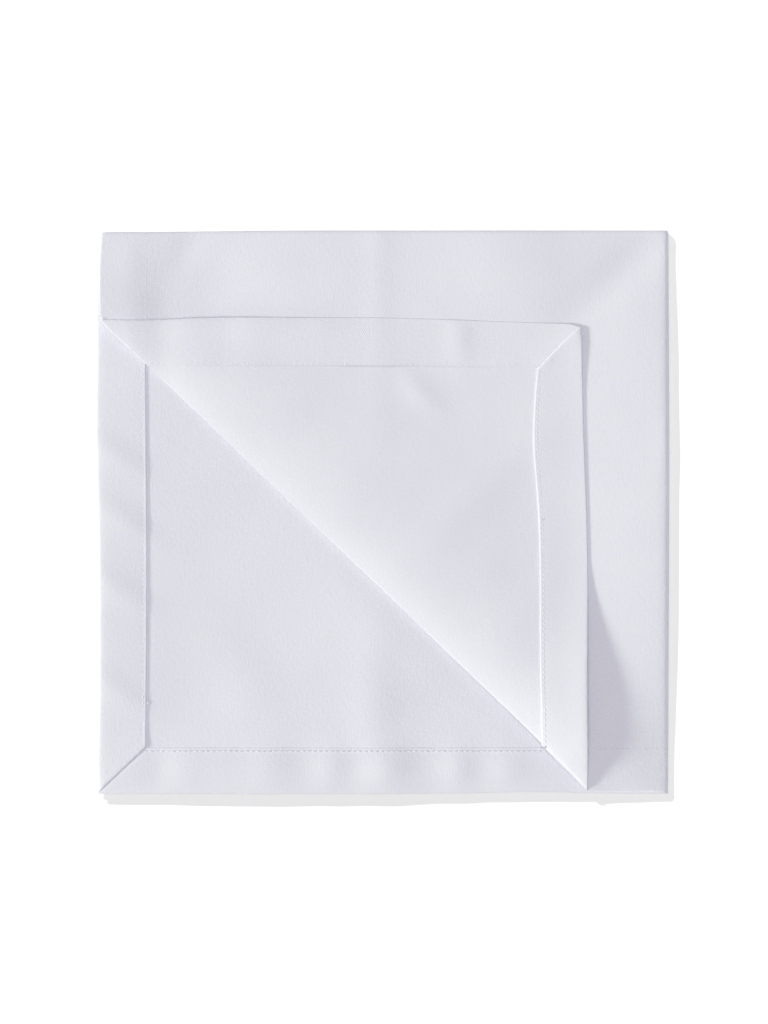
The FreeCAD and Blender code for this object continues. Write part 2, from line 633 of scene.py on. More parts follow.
def faces_past(mesh: Mesh, x: float, y: float, side: float = 0.0, end: float = 0.0) -> Faces:
    """The faces whose middles lie further out than two lines.

    Args:
        mesh: The mesh.
        x: How far out the line across X is.
        y: How far out the line across Y is.
        side: 1 or -1 for the side that counts, or 0 for both.
        end: 1 or -1 for the end that counts, or 0 for both.

    Returns:
        The faces.
    """
    found = []
    for face in mesh.faces:
        middle = face.calc_center_median()
        across = middle.x * side if side else abs(middle.x)
        along = middle.y * end if end else abs(middle.y)
        if across > x and along > y:
            found.append(face)
    return found


def written(mesh: Mesh, name: str) -> bpy.types.Mesh:
    """Writes a mesh out under this name, and uses it up.

    Args:
        mesh: The mesh.
        name: The name.

    Returns:
        What an object takes as its mesh.
    """
    data = bpy.data.meshes.new(name)
    mesh.to_mesh(data)
    mesh.free()
    return data


def placed(name: str, data: bpy.types.ID) -> Object:
    """Puts an object of this name and data in the scene.

    Args:
        name: The object's name.
        data: Its mesh, lamp or camera.

    Returns:
        The object.
    """
    thing = bpy.data.objects.new(name, data)
    bpy.context.scene.collection.objects.link(thing)
    return thing


def finished_piece(mesh: Mesh, name: str, material: Material) -> Object:
    """Makes an object of a finished mesh and lets it ride on the napkin's body.

    Args:
        mesh: The mesh, in metres, which is used up.
        name: The piece's name.
        material: Its finish.

    Returns:
        The object.
    """
    for face in mesh.faces:
        face.smooth = True
    piece = placed(name, written(mesh, name))
    piece.data.materials.append(material)
    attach(piece, BODY)
    return piece


@dataclass
class NapkinCloth:
    """The cloth, in one piece."""

    folding: Folding
    hem: Hem = Hem()
    openings: tuple[Swell, ...] = ()
    thickness: float = 0.30
    step: float = 3.3
    hidden_step: float = 8.0
    hem_step: float = 3.0
    bend_shares: tuple[float, ...] = (0.12, 0.25, 0.4, 0.6, 0.8, 1.0)
    diagonal_spans: int = 8
    past_diagonal: Triple = (1.2, 3.0, 5.5)
    beside_mitre: tuple[float, ...] = (-1.4, -0.9, -0.6, -0.4, -0.2, 0.2, 0.4, 0.6, 0.9, 1.4)
    past_hem: float = 2.0
    weld: float = 0.02
    name: str = "napkin_cloth"

    @property
    def half_width(self) -> float:
        """Half the open napkin's width."""
        return self.folding.quarters.half_width()

    @property
    def half_depth(self) -> float:
        """Half the open napkin's depth."""
        return self.folding.quarters.half_depth()

    @property
    def cut_size(self) -> Pair:
        """The size that the cloth was cut to, in metres."""
        extra = self.hem.allowance
        return 2.0 * (self.half_width + extra) * MM, 2.0 * (self.half_depth + extra) * MM

    @property
    def cut_area(self) -> float:
        """The area of the cut cloth without the mitres' trimmings, in square metres.

        Returns:
            The area.
        """
        hem = self.hem
        notch = hem.run**2 + hem.tuck_run**2
        square = self.cut_size[0] * self.cut_size[1]
        corners = 4.0 * (hem.allowance * MM) ** 2
        return square - corners - 4.0 * notch * MM * MM

    def cut(self) -> Mesh:
        """The flat cut cloth, with its thread's own coordinates as its UV map.

        Returns:
            The mesh, with the mitres' ends drawn in, and without the corners that they trim off.
        """
        fine = self.hem.lines(self.half_width, self.step, self.hem_step)
        coarse = self.hem.lines(self.half_width, self.hidden_step, self.hem_step)
        deep = self.hem.lines(self.half_depth, self.step, self.hem_step)
        across = np.array([-a for a in reversed(fine)] + coarse[1:])
        along = np.array([-a for a in reversed(deep)] + deep[1:])
        mesh = bmesh.new()
        columns, rows = len(across) - 1, len(along) - 1
        bmesh.ops.create_grid(mesh, x_segments=columns, y_segments=rows, size=0.5)
        grid = points_of(mesh) + 0.5
        a = across[np.rint(grid[:, 0] * columns).astype(int)]
        b = along[np.rint(grid[:, 1] * rows).astype(int)]
        move_points(mesh, np.stack([a, b, np.zeros_like(a)], axis=1))
        doubled = faces_past(mesh, self.half_width, self.half_depth)
        bmesh.ops.delete(mesh, geom=doubled, context="FACES")
        a, b, _ = points_of(mesh).T
        a, b = self.mitred(a, b)
        move_points(mesh, np.stack([a, b, np.zeros_like(a)], axis=1))
        uv = mesh.loops.layers.uv.new("threads")
        for face in mesh.faces:
            for loop in face.loops:
                loop[uv].uv = loop.vert.co.xy * MM
        return mesh

    def mitred(self, a: Array, b: Array) -> Places:
        """Draws the ends of each allowance in, so that two of them meet on the mitre.

        Args:
            a: The points' places across the second crease, on the cut cloth.
            b: The points' places across the first crease, on the cut cloth.

        Returns:
            Both places, drawn in.
        """
        across, _ = self.hem.fold(np.abs(a), self.half_width)
        along, _ = self.hem.fold(np.abs(b), self.half_depth)
        edge = self.hem.edge_radius
        beyond_a = np.abs(a) > self.half_width - edge + math.pi * edge / 2.0
        beyond_b = np.abs(b) > self.half_depth - edge + math.pi * edge / 2.0
        end_b = 1.0 - (self.half_width - across) / self.half_depth
        end_a = 1.0 - (self.half_depth - along) / self.half_width
        return np.where(beyond_b, a * end_a, a), np.where(beyond_a, b * end_b, b)

    def hemmed(self, a: Array, b: Array) -> Points:
        """Turns all four hems of the cut cloth.

        Args:
            a: The points' places across the second crease, on the cut cloth.
            b: The points' places across the first crease, on the cut cloth.

        Returns:
            The places on the open hemmed napkin, and the height over its wrong side.
        """
        across, rise_a = self.hem.fold(np.abs(a), self.half_width)
        along, rise_b = self.hem.fold(np.abs(b), self.half_depth)
        rise = np.maximum(rise_a, rise_b)
        from_side, from_end = self.half_width - across, self.half_depth - along
        inset = np.minimum(from_side, from_end)
        hem = self.hem
        off_stitches = (inset - hem.stitches) / hem.stitch_sink_width
        flattened = hem.pressed * smooth_step(hem.stitches - hem.pressed_width, hem.stitches, inset)
        rise = rise * (1.0 - hem.stitch_sink * np.exp(-off_stitches * off_stitches) - flattened)

        over_tuck = np.clip((rise - hem.tuck_rise) / (hem.ply_rise - hem.tuck_rise), 0.0, 1.0)
        rise = rise + swelling(self.openings, a, b) * over_tuck

        upper = np.where(b > 0.0, rise_a > rise_b, rise_b > rise_a)
        off_mitre = np.abs(from_side - from_end) / math.sqrt(2.0)
        inside = smooth_step(*hem.mitre_start, inset) * (rise > 0.0)
        step = hem.mitre_step * np.exp(-off_mitre / hem.mitre_step_width) * upper
        groove = hem.mitre_sink * np.exp(-((off_mitre / hem.mitre_width) ** 2))
        rise = (rise + step * inside) * (1.0 - groove * inside)
        return np.sign(a) * across, np.sign(b) * along, rise

    def crease_lines(self, mesh: Mesh) -> None:
        """Adds the mesh lines that the three folds bend along.

        Args:
            mesh: The hemmed open napkin, flat.
        """
        quarters = self.folding.quarters
        first = quarter_ellipse(quarters.first_reach, quarters.first_rise)
        second = quarter_ellipse(quarters.second_reach, quarters.second_rise)
        for share in self.bend_shares:
            for side in (-1.0, 1.0):
                self.cut_line(mesh, (0.0, side * share * first), (0.0, 1.0), mesh.faces[:])
                self.cut_line(mesh, (side * share * second, 0.0), (1.0, 0.0), mesh.faces[:])

        self.mitre_lines(mesh)
        diagonal = self.folding.diagonal
        middle = (-self.half_width / 2.0, -self.half_depth / 2.0)
        offset_x, offset_y = (new - old for new, old in zip(quarters.point(*middle), middle))
        inward, turn = diagonal.inward, diagonal.turn_length
        runs = [turn * i / self.diagonal_spans for i in range(self.diagonal_spans + 1)]
        for past in runs + [turn + more for more in self.past_diagonal]:
            x = diagonal.start.x - inward.x * (past - diagonal.radius)
            y = diagonal.start.y - inward.y * (past - diagonal.radius)
            top_leaf = faces_past(mesh, 0.0, 0.0, -1.0, -1.0)
            self.cut_line(mesh, (x - offset_x, y - offset_y), (inward.x, inward.y), top_leaf)

    def mitre_lines(self, mesh: Mesh) -> None:
        """Adds the mesh lines beside the four mitres.

        Args:
            mesh: The hemmed open napkin, flat.
        """
        inner = self.hem.width + self.past_hem
        x, y = self.half_width - inner, self.half_depth - inner
        for side, end in ((1.0, 1.0), (1.0, -1.0), (-1.0, 1.0), (-1.0, -1.0)):
            for off in self.beside_mitre:
                corner = (side * (self.half_width + off), end * self.half_depth)
                self.cut_line(mesh, corner, (side, -end), faces_past(mesh, x, y, side, end))

    def cut_line(self, mesh: Mesh, point: Pair, normal: Pair, faces: Faces) -> None:
        """Splits faces along a line.

        Args:
            mesh: The hemmed open napkin, flat.
            point: A point on the line.
            normal: The direction across it.
            faces: The faces to split.
        """
        edges = {edge for face in faces for edge in face.edges}
        vertices = {vertex for face in faces for vertex in face.verts}
        bmesh.ops.bisect_plane(
            mesh,
            geom=[*vertices, *edges, *faces],
            dist=self.weld,
            plane_co=(*point, 0.0),
            plane_no=(*normal, 0.0),
        )

    def build(self, material: Material) -> Object:
        """Cuts, hems and folds the cloth.

        Args:
            material: The cloth's finish.

        Returns:
            The piece.
        """
        mesh = self.cut()
        a, b, _ = points_of(mesh).T
        move_points(mesh, np.stack(self.hemmed(a, b), axis=1))
        self.crease_lines(mesh)
        u, v, h = points_of(mesh).T
        move_points(mesh, self.folding.place(u, v, h) * MM)
        piece = finished_piece(mesh, self.name, material)
        thicken = piece.modifiers.new("thickness", "SOLIDIFY")
        thicken.thickness = self.thickness * MM
        thicken.offset = 0.0
        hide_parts(NODE)
        return piece


class ClothSide(Enum):
    """The two sides of the cloth."""

    WRONG = 1.0
    FACE = -1.0


@dataclass(frozen=True)
class ThreadEnd:
    """A short end or knot of sewing thread, on the wrong side."""

    u: float
    v: float
    angle: float
    length: float
    height: float


@dataclass
class Stitching:
    """The lockstitches that hold the hems, on both sides of the cloth, as one piece."""

    cloth: NapkinCloth
    thread_ends: tuple[ThreadEnd, ...] = ()
    drawn_in: tuple[Swell, ...] = ()
    thread_radius: float = 0.19
    stitch_length: float = 1.95
    arch: float = 0.20
    sunk: float = 0.10
    end_slimness: float = 0.35
    face_share: float = 0.28
    face_sunk: float = 0.04
    sides: int = 6
    spans: int = 4
    name: str = "napkin_stitching"

    def stitch(self) -> bpy.types.Mesh:
        """One stitch along X, about the origin, arched, with its ends in the cloth.

        Returns:
            The stitch, with the thread's length and angle as its UV map.
        """
        mesh = bmesh.new()
        bmesh.ops.create_cone(
            mesh,
            cap_ends=True,
            segments=self.sides,
            radius1=self.thread_radius,
            radius2=self.thread_radius,
            depth=self.stitch_length,
            calc_uvs=False,
        )
        lengthwise = [edge for edge in mesh.edges if edge.calc_length() > self.stitch_length / 2.0]
        bmesh.ops.subdivide_edges(mesh, edges=lengthwise, cuts=self.spans - 1)
        uv = mesh.loops.layers.uv.new("threads")
        for face in mesh.faces:
            for loop in face.loops:
                x, y, z = loop.vert.co
                loop[uv].uv = (z * MM, math.atan2(y, x))
        for vertex in mesh.verts:
            x, y, z = vertex.co
            share = 2.0 * z / self.stitch_length
            slim = 1.0 - self.end_slimness * share**4
            height = self.arch * (1.0 - share * share) - self.sunk * share * share
            vertex.co = (z, y * slim, x * slim + height)
        return written(mesh, "stitch")

    def on_hem(self, local: Array, quarter_turns: int, side: ClothSide) -> Array:
        """Lays a stitch along one of the four hems.

        Args:
            local: The x, y and z of each of its points, from the middle of the hem's row.
            quarter_turns: Which hem, counted from the right one.
            side: Which side of the cloth it lies on.

        Returns:
            The place of each point on the open napkin, with its height over the wrong side.
        """
        hem, cloth = self.cloth.hem, self.cloth
        half = cloth.half_depth if quarter_turns % 2 else cloth.half_width
        out = half - hem.stitches + local[:, 1]
        right, away = OUTWARD[quarter_turns]
        u = out * right - local[:, 0] * away
        v = out * away + local[:, 0] * right
        surface = cloth.thickness / 2.0
        if side is ClothSide.WRONG:
            rise = hem.ply_rise * (1.0 - hem.stitch_sink - hem.pressed)
            stands = surface + rise + local[:, 2] - swelling(self.drawn_in, u, v)
        else:
            stands = surface + self.face_share * local[:, 2] - self.face_sunk
        return np.stack([u, v, side.value * stands], axis=1)

    def end_of_thread(self, end: ThreadEnd, local: Array) -> Array:
        """Lays one loose end.

        Args:
            end: Where and how it lies.
            local: The x, y and z of each point of one stitch.

        Returns:
            The place of each point on the open napkin, with its height over the wrong side.
        """
        turn = math.radians(end.angle)
        along = local[:, 0] * end.length / self.stitch_length
        u = end.u + along * math.cos(turn) - local[:, 1] * math.sin(turn)
        v = end.v + along * math.sin(turn) + local[:, 1] * math.cos(turn)
        return np.stack([u, v, end.height + local[:, 2]], axis=1)

    def build(self, material: Material) -> Object:
        """Sews all four hems.

        Args:
            material: The thread's finish.

        Returns:
            The piece.
        """
        stitch = self.stitch()
        local = np.array([vertex.co for vertex in stitch.vertices])
        places: list[Array] = []
        for quarter_turns in range(4):
            half = self.cloth.half_width if quarter_turns % 2 else self.cloth.half_depth
            count, pitch = self.cloth.hem.pitch(half)
            for side in ClothSide:
                for number in range(count):
                    shift = ((number + 0.5 - count / 2.0) * pitch, 0.0, 0.0)
                    places.append(self.on_hem(local + shift, quarter_turns, side))
        places += [self.end_of_thread(end, local) for end in self.thread_ends]
        mesh = bmesh.new()
        for _ in places:
            mesh.from_mesh(stitch)
        bpy.data.meshes.remove(stitch)
        u, v, h = np.concatenate(places).T
        move_points(mesh, self.cloth.folding.place(u, v, h) * MM)
        bmesh.ops.recalc_face_normals(mesh, faces=mesh.faces)
        return finished_piece(mesh, self.name, material)


class Link:
    """A shader socket that takes part in Python expressions."""

    def __init__(self, nodes: "Nodes", socket: bpy.types.NodeSocket) -> None:
        """Wraps an output socket of a node tree."""
        self.nodes, self.socket = nodes, socket

    def __add__(self, other: "Link | float") -> "Link":
        """self + other."""
        return self.nodes.math("ADD", self, other)

    def __sub__(self, other: "Link | float") -> "Link":
        """self - other."""
        return self.nodes.math("SUBTRACT", self, other)

    def __rsub__(self, other: "Link | float") -> "Link":
        """other - self."""
        return self.nodes.math("SUBTRACT", other, self)

    def __mul__(self, other: "Link | float") -> "Link":
        """self * other."""
        return self.nodes.math("MULTIPLY", self, other)

    __radd__ = __add__
    __rmul__ = __mul__


class Nodes:
    """A node tree under construction."""

    def __init__(self, owner: Material | bpy.types.World) -> None:
        """Starts an empty node tree.

        Args:
            owner: The material or the world that the tree belongs to.
        """
        self.owner = owner
        owner.use_nodes = True
        self.tree = owner.node_tree
        self.tree.nodes.clear()

    def add(self, kind: str, settings: Values = None, sockets: Values = None) -> bpy.types.Node:
        """Adds a node.

        Args:
            kind: The node's type.
            settings: Its properties, set before its sockets.
            sockets: Values or links for its input sockets, by name or number.

        Returns:
            The node.
        """
        node = self.tree.nodes.new(kind)
        for name, value in (settings or {}).items():
            setattr(node, name, value)
        for name, value in (sockets or {}).items():
            if isinstance(value, Link):
                self.tree.links.new(value.socket, node.inputs[name])
            else:
                node.inputs[name].default_value = value
        return node

    def link(
        self, kind: str, settings: Values = None, sockets: Values = None, output: int | str = 0
    ) -> Link:
        """Adds a node and returns one of its outputs, for expressions."""
        return Link(self, self.add(kind, settings, sockets).outputs[output])

    def math(self, operation: str, *values: Link | float) -> Link:
        """The result of one Math node."""
        return self.link("ShaderNodeMath", {"operation": operation}, dict(enumerate(values)))

    def surface(self, shader: Link) -> Material:
        """The finished material, with this shader as its surface."""
        self.add("ShaderNodeOutputMaterial", sockets={"Surface": shader})
        return self.owner

    def threads(self) -> tuple[Link, Link, Link]:
        """Reads the mesh's UV map.

        Returns:
            The map, and each of its two coordinates.
        """
        uv = self.link("ShaderNodeTexCoord", output="UV")
        split = self.add("ShaderNodeSeparateXYZ", sockets={0: uv})
        return uv, *(Link(self, split.outputs[i]) for i in (0, 1))

    def bump(self, height: Link) -> Link:
        """The normal of a surface with this height, in millimetres."""
        sockets = {"Strength": 1.0, "Distance": MM, "Height": height}
        return self.link("ShaderNodeBump", sockets=sockets)

    def sine(self, value: Link) -> Link:
        """The sine of a value."""
        return self.math("SINE", value)

    def blend(self, factor: Link, low: Link | Color, high: Link | Color) -> Link:
        """A colour between two others.

        Args:
            factor: 0 for low and 1 for high.
            low: The colour at 0.
            high: The colour at 1.

        Returns:
            The colour.
        """
        settings = {"data_type": "RGBA"}
        low, high = (end if isinstance(end, Link) else (*end, 1.0) for end in (low, high))
        sockets = {0: factor, 6: low, 7: high}
        return self.link("ShaderNodeMix", settings, sockets, output=2)


@dataclass(frozen=True)
class Seam:
    """A row of stitches as the cloth's own threads see it: where it lies, and its pitch."""

    lines: Pair
    pitch: float
    reach: float


@dataclass(frozen=True)
class ClothFinish:
    """Plain woven cool white cloth with a soft sheen, and needle holes along its seams, with
    painted shade in those holes and along some hems' rims.
    """

    side_seam: Seam
    end_seam: Seam
    # Where lines of shade are painted along hems' rims, on the cut cloth.
    painted_rim_shades: tuple[Swell, ...] = ()
    low: Color = (0.778, 0.783, 0.846)
    high: Color = (0.822, 0.827, 0.886)
    # The colour of the painted shade in the needle holes and along hems' rims.
    painted_shade_color: Color = (0.60, 0.60, 0.67)
    roughness: float = 0.85
    pick_across: float = 0.64
    pick_along: float = 0.46
    uneven: float = 5.0
    weave_depth: float = 0.035
    slub_depth: float = 0.06
    grain_depth: float = 0.12
    hole_depth: float = 0.04
    hole_width: float = 0.40
    hole_shares: Pair = (0.35, 0.8)
    # How far the needle holes are darkened, as painted shade.
    hole_painted_shade: float = 0.22
    hole_sharpness: float = 5.0
    row_margin: float = 0.3
    warp_scale: Triple = (1100.0, 300.0, 1.0)
    weft_scale: Triple = (300.0, 1100.0, 1.0)
    grain_scale: Triple = (700.0, 480.0, 1.0)
    cloud_scale: float = 28.0
    cloudiness: float = 1.5
    slub_tint: float = 0.25
    tint_start: float = 0.5
    specular: float = 0.25
    sheen: float = 0.10
    sheen_roughness: float = 0.5

    @classmethod
    def of_cloth(cls, cloth: NapkinCloth, painted_rim_shades: tuple[Swell, ...]) -> "ClothFinish":
        """The finish for a cloth, with its seams where that cloth has them.

        Args:
            cloth: The cloth.
            painted_rim_shades: Where a line of shade is painted along its hems' rims, on the cut
                cloth.

        Returns:
            Its finish.
        """
        hem = cloth.hem
        width, depth = cloth.half_width, cloth.half_depth
        sides = Seam(hem.stitch_lines(width), hem.pitch(depth)[1], depth - hem.stitches)
        ends = Seam(hem.stitch_lines(depth), hem.pitch(width)[1], width - hem.stitches)
        return cls(sides, ends, painted_rim_shades)

    def material(self) -> Material:
        """The cloth's node material.

        Returns:
            The material.
        """
        nodes = Nodes(bpy.data.materials.new("napkin_cloth"))
        uv, across, along = nodes.threads()
        warp = self.slubs(nodes, uv, self.warp_scale)
        weft = self.slubs(nodes, uv, self.weft_scale)
        weave = nodes.sine(across * (math.pi / (self.pick_across * MM)) + warp * self.uneven)
        weave = weave * nodes.sine(along * (math.pi / (self.pick_along * MM)) + weft * self.uneven)
        holes = self.holes(nodes, across, along, self.side_seam)
        holes = holes + self.holes(nodes, along, across, self.end_seam)
        grain = self.slubs(nodes, uv, self.grain_scale)
        height = weave * self.weave_depth + (warp + weft) * self.slub_depth
        height = height + grain * self.grain_depth
        height = height - holes * self.hole_depth
        clouds = {"Vector": uv, "Scale": self.cloud_scale}
        cloudy = nodes.link("ShaderNodeTexNoise", sockets=clouds)
        tint = cloudy * self.cloudiness + (warp + weft) * self.slub_tint - self.tint_start
        woven = nodes.blend(tint, self.low, self.high)
        # Painted shade: the needle holes are darkened in the base colour, as well as dented by the
        # bump.
        shade = holes * self.hole_painted_shade
        # Painted shade: dark lines where a hem's rim stands off the cloth under it.
        for rim in self.painted_rim_shades:
            shade = shade + self.painted_rim_line(nodes, across, along, rim)
        shader = nodes.link(
            "ShaderNodeBsdfPrincipled",
            sockets={
                "Base Color": nodes.blend(shade, woven, self.painted_shade_color),
                "Roughness": self.roughness,
                "Specular IOR Level": self.specular,
                "Sheen Weight": self.sheen,
                "Sheen Roughness": self.sheen_roughness,
                "Normal": nodes.bump(height),
            },
        )
        return nodes.surface(shader)

    def slubs(self, nodes: Nodes, uv: Link, scale: Triple) -> Link:
        """Thick and thin places along one set of threads, as a value of about 0 to 1."""
        stretched = nodes.link("ShaderNodeMapping", sockets={"Vector": uv, "Scale": scale})
        return nodes.link(
            "ShaderNodeTexNoise", sockets={"Vector": stretched, "Scale": 1.0, "Detail": 1.0}
        )

    def painted_rim_line(self, nodes: Nodes, across: Link, along: Link, rim: Swell) -> Link:
        """A line of shade painted along the rim of a side hem that has drawn off the cloth under
        it.

        Args:
            nodes: The node tree.
            across: The threads' place across the cloth.
            along: Their place along it.
            rim: Where the line is, how strong, how long and how wide.

        Returns:
            A value from 0 to the line's strength.
        """
        off = (across - rim.x * MM) * (1.0 / (rim.across * MM))
        far = (along - rim.y * MM) * (1.0 / (rim.along * MM))
        square = far * far
        return nodes.math("EXPONENT", (off * off + square * square) * -1.0) * rim.height

    def holes(self, nodes: Nodes, out: Link, along: Link, seam: Seam) -> Link:
        """The little hollows that the needle leaves along a pair of hems.

        Args:
            nodes: The node tree.
            out: The distance from the cloth's middle towards those hems.
            along: The distance along them.
            seam: Where their stitches are.

        Returns:
            A value from 0 to 1 in the middle of each hole.
        """
        from_middle = nodes.math("ABSOLUTE", out)
        near = None
        for line, share in zip(seam.lines, self.hole_shares):
            off = (from_middle - line * MM) * (1.0 / (self.hole_width * MM))
            bell = nodes.math("EXPONENT", off * off * -1.0) * share
            near = bell if near is None else near + bell
        wave = nodes.math("COSINE", along * (2.0 * math.pi / (seam.pitch * MM)))
        punched = nodes.math("POWER", wave * 0.5 + 0.5, self.hole_sharpness)
        row_end = (seam.reach + self.row_margin) * MM
        in_row = nodes.math("LESS_THAN", nodes.math("ABSOLUTE", along), row_end)
        return near * punched * in_row


@dataclass(frozen=True)
class ThreadFinish:
    """White twisted sewing thread, its colour darker in the grooves of its twist as painted shade.
    """

    low: Color = (0.84, 0.84, 0.89)
    high: Color = (0.93, 0.93, 0.96)
    roughness: float = 0.45
    specular: float = 0.4
    sheen: float = 0.1
    twist: float = 0.5
    twist_depth: float = 0.03

    def material(self) -> Material:
        """The thread's node material.

        Returns:
            The material.
        """
        nodes = Nodes(bpy.data.materials.new("napkin_thread"))
        _, along, angle = nodes.threads()
        strands = nodes.sine(along * (2.0 * math.pi / (self.twist * MM)) + angle * 2.0)
        # Painted shade: the colour follows the twist's bump, darker in its grooves and lighter on
        # its ridges.
        shader = nodes.link(
            "ShaderNodeBsdfPrincipled",
            sockets={
                "Base Color": nodes.blend(strands * 0.5 + 0.5, self.low, self.high),
                "Roughness": self.roughness,
                "Specular IOR Level": self.specular,
                "Sheen Weight": self.sheen,
                "Normal": nodes.bump(strands * self.twist_depth),
            },
        )
        return nodes.surface(shader)


@dataclass(frozen=True)
class FloorFinish:
    """A white surface that shows white to the eye and keeps the napkin's shadow."""

    color: Color = (0.87, 0.875, 0.856)
    whitened: float = 0.5

    def material(self) -> Material:
        """The floor's node material.

        Returns:
            The material.
        """
        nodes = Nodes(bpy.data.materials.new("floor"))
        path = nodes.add("ShaderNodeLightPath")
        seen = Link(nodes, path.outputs["Is Transmission Ray"])
        for ray in ("Is Camera Ray", "Is Glossy Ray"):
            seen = seen + Link(nodes, path.outputs[ray])
        lit = nodes.link("ShaderNodeBsdfDiffuse", sockets={"Color": (*self.color, 1.0)})
        glow = {"Color": (*WHITE, 1.0), "Strength": 1.0}
        white = nodes.link("ShaderNodeEmission", sockets=glow)
        shares = {0: seen * self.whitened, 1: lit, 2: white}
        both = nodes.link("ShaderNodeMixShader", sockets=shares)
        return nodes.surface(both)


@dataclass(frozen=True)
class RoundLamp:
    """A round soft lamp that points at the napkin."""

    name: str
    power: float
    azimuth: float
    elevation: float
    diameter: float
    distance: float = 8.0
    color: Color = WHITE

    def build(self, lit: list[Object]) -> Object:
        """Hangs the lamp.

        Args:
            lit: What it lights.

        Returns:
            The lamp.
        """
        azimuth, elevation = math.radians(self.azimuth), math.radians(self.elevation)
        level = math.cos(elevation)
        height = math.sin(elevation)
        towards = Vector((level * math.cos(azimuth), level * math.sin(azimuth), height))
        data = bpy.data.lights.new(self.name, "AREA")
        data.shape = "DISK"
        data.size = self.diameter
        data.energy = self.power
        data.color = self.color
        lamp = placed(self.name, data)
        lamp.location = towards * self.distance
        lamp.visible_camera = False
        lamp.rotation_euler = towards.to_track_quat("Z", "Y").to_euler()
        receivers = bpy.data.collections.new(f"lit_by_{self.name}")
        for piece in lit:
            receivers.objects.link(piece)
        lamp.light_linking.receiver_collection = receivers
        return lamp


@dataclass
class Studio:
    """The floor, the light and the camera."""

    view_width: float = 0.340
    camera_height: float = 2.0
    sensor: float = 36.0
    floor_size: float = 6.0
    sky: float = 0.30
    overhead: RoundLamp = RoundLamp(
        "overhead",
        power=27.3,
        azimuth=0.0,
        elevation=90.0,
        diameter=1.2,
        distance=2.6,
        color=(1.0, 0.965, 1.05),
    )
    key: RoundLamp = RoundLamp(
        "key", power=464.0, azimuth=187.0, elevation=20.0, diameter=1.6, color=(1.0, 1.05, 0.92)
    )
    edge: RoundLamp = RoundLamp("edge", power=736.0, azimuth=131.0, elevation=33.0, diameter=0.12)

    def build(self, pieces: list[Object]) -> None:
        """Sets the whole stage up.

        Args:
            pieces: The napkin's pieces.
        """
        floor = self.build_floor()
        self.build_sky()
        self.overhead.build([*pieces, floor])
        self.key.build(pieces)
        self.edge.build([floor])
        self.build_camera()
        bpy.context.scene.view_settings.view_transform = "Standard"

    def build_floor(self) -> Object:
        """A wide plain floor at the height that the napkin lies on.

        Returns:
            The floor.
        """
        mesh = bmesh.new()
        bmesh.ops.create_grid(mesh, x_segments=1, y_segments=1, size=self.floor_size / 2.0)
        floor = placed("floor", written(mesh, "floor"))
        floor.data.materials.append(FloorFinish().material())
        return floor

    def build_sky(self) -> None:
        """An even white surround, which is the soft light."""
        world = bpy.data.worlds.new("surround")
        bpy.context.scene.world = world
        nodes = Nodes(world)
        path = nodes.add("ShaderNodeLightPath")
        seen = Link(nodes, path.outputs["Is Camera Ray"])
        strength = seen * (1.0 - self.sky) + self.sky
        even = {"Color": (*WHITE, 1.0), "Strength": strength}
        light = nodes.link("ShaderNodeBackground", sockets=even)
        nodes.add("ShaderNodeOutputWorld", sockets={"Surface": light})

    def build_camera(self) -> None:
        """A long lens straight above the napkin."""
        data = bpy.data.cameras.new("camera")
        data.sensor_fit = "HORIZONTAL"
        data.sensor_width = self.sensor
        data.lens = self.sensor * self.camera_height / self.view_width
        data.clip_end = 10.0 * self.camera_height
        camera = placed("camera", data)
        camera.location = (0.0, 0.0, self.camera_height)
        bpy.context.scene.camera = camera


def swells_of(*rows: tuple[float, ...]) -> tuple[Swell, ...]:
    """Several swells, each from its x, y, height, length, width and angle."""
    return tuple(Swell(*row) for row in rows)


def drifts_of(*rows: tuple[float, ...]) -> tuple[Drift, ...]:
    """Several drifts, each from its shift right and away, and its x, y, length, width and angle."""
    return tuple(Drift(right, away, Swell(x, y, 1.0, *size)) for right, away, x, y, *size in rows)


# How the top leaf lies: soft swells, and the hollows between them.
TOP_LEAF = swells_of(
    (102, 103, -1.2, 34, 8.5, 42),
    (120, 116, -2.6, 26, 24),
    (60, 112, 0.9, 45, 26),
    (-48, 104, 0.55, 26, 16, 90),
    (-87.4, 116.2, -0.7, 12, 6, 60),
    (-112.2, 110.9, 0.25, 8, 4, 90),
    (-127, 94, 1.6, 14, 17, 90),
    (-2.4, 107.4, 0.45, 60, 5.5, 90),
    (-21.9, 105.1, 0.9, 26, 25),
    (53.3, 107.4, 0.8, 24, 22),
    (125.5, 32.1, 0.5, 12, 5, 90),
    (61, -92, 3.6, 38, 33, 90),
    (130, -97, -1.7, 34, 18, 90),
    (128, -117, -0.9, 18, 13, 90),
    (84, -106, 1.3, 16, 20, 90),
    (-76, 106, -0.7, 30, 14, 90),
    (-66, 81.5, 2.2, 42, 7),
    (96, -126, -1.2, 16, 9),
)
# Ripples across the second leaf's front hem, by x, height and width, and its left hem, by x and y.
HEM_RIPPLES = (
    (-99.4, -0.70, 7),
    (-87, 0.35, 7.5),
    (-71, 0.35, 7.5),
    (-50.7, 1.1, 11.3),
    (-23.2, 1.3, 7.5),
    (1.4, 2, 11.3),
    (32.6, 1.2, 7),
    (54.5, 1, 8.8),
)
LEFT_RIPPLES = ((-118, 25.5), (-114.9, -3.3), (-117.1, -34.3), (-118, -78.6))
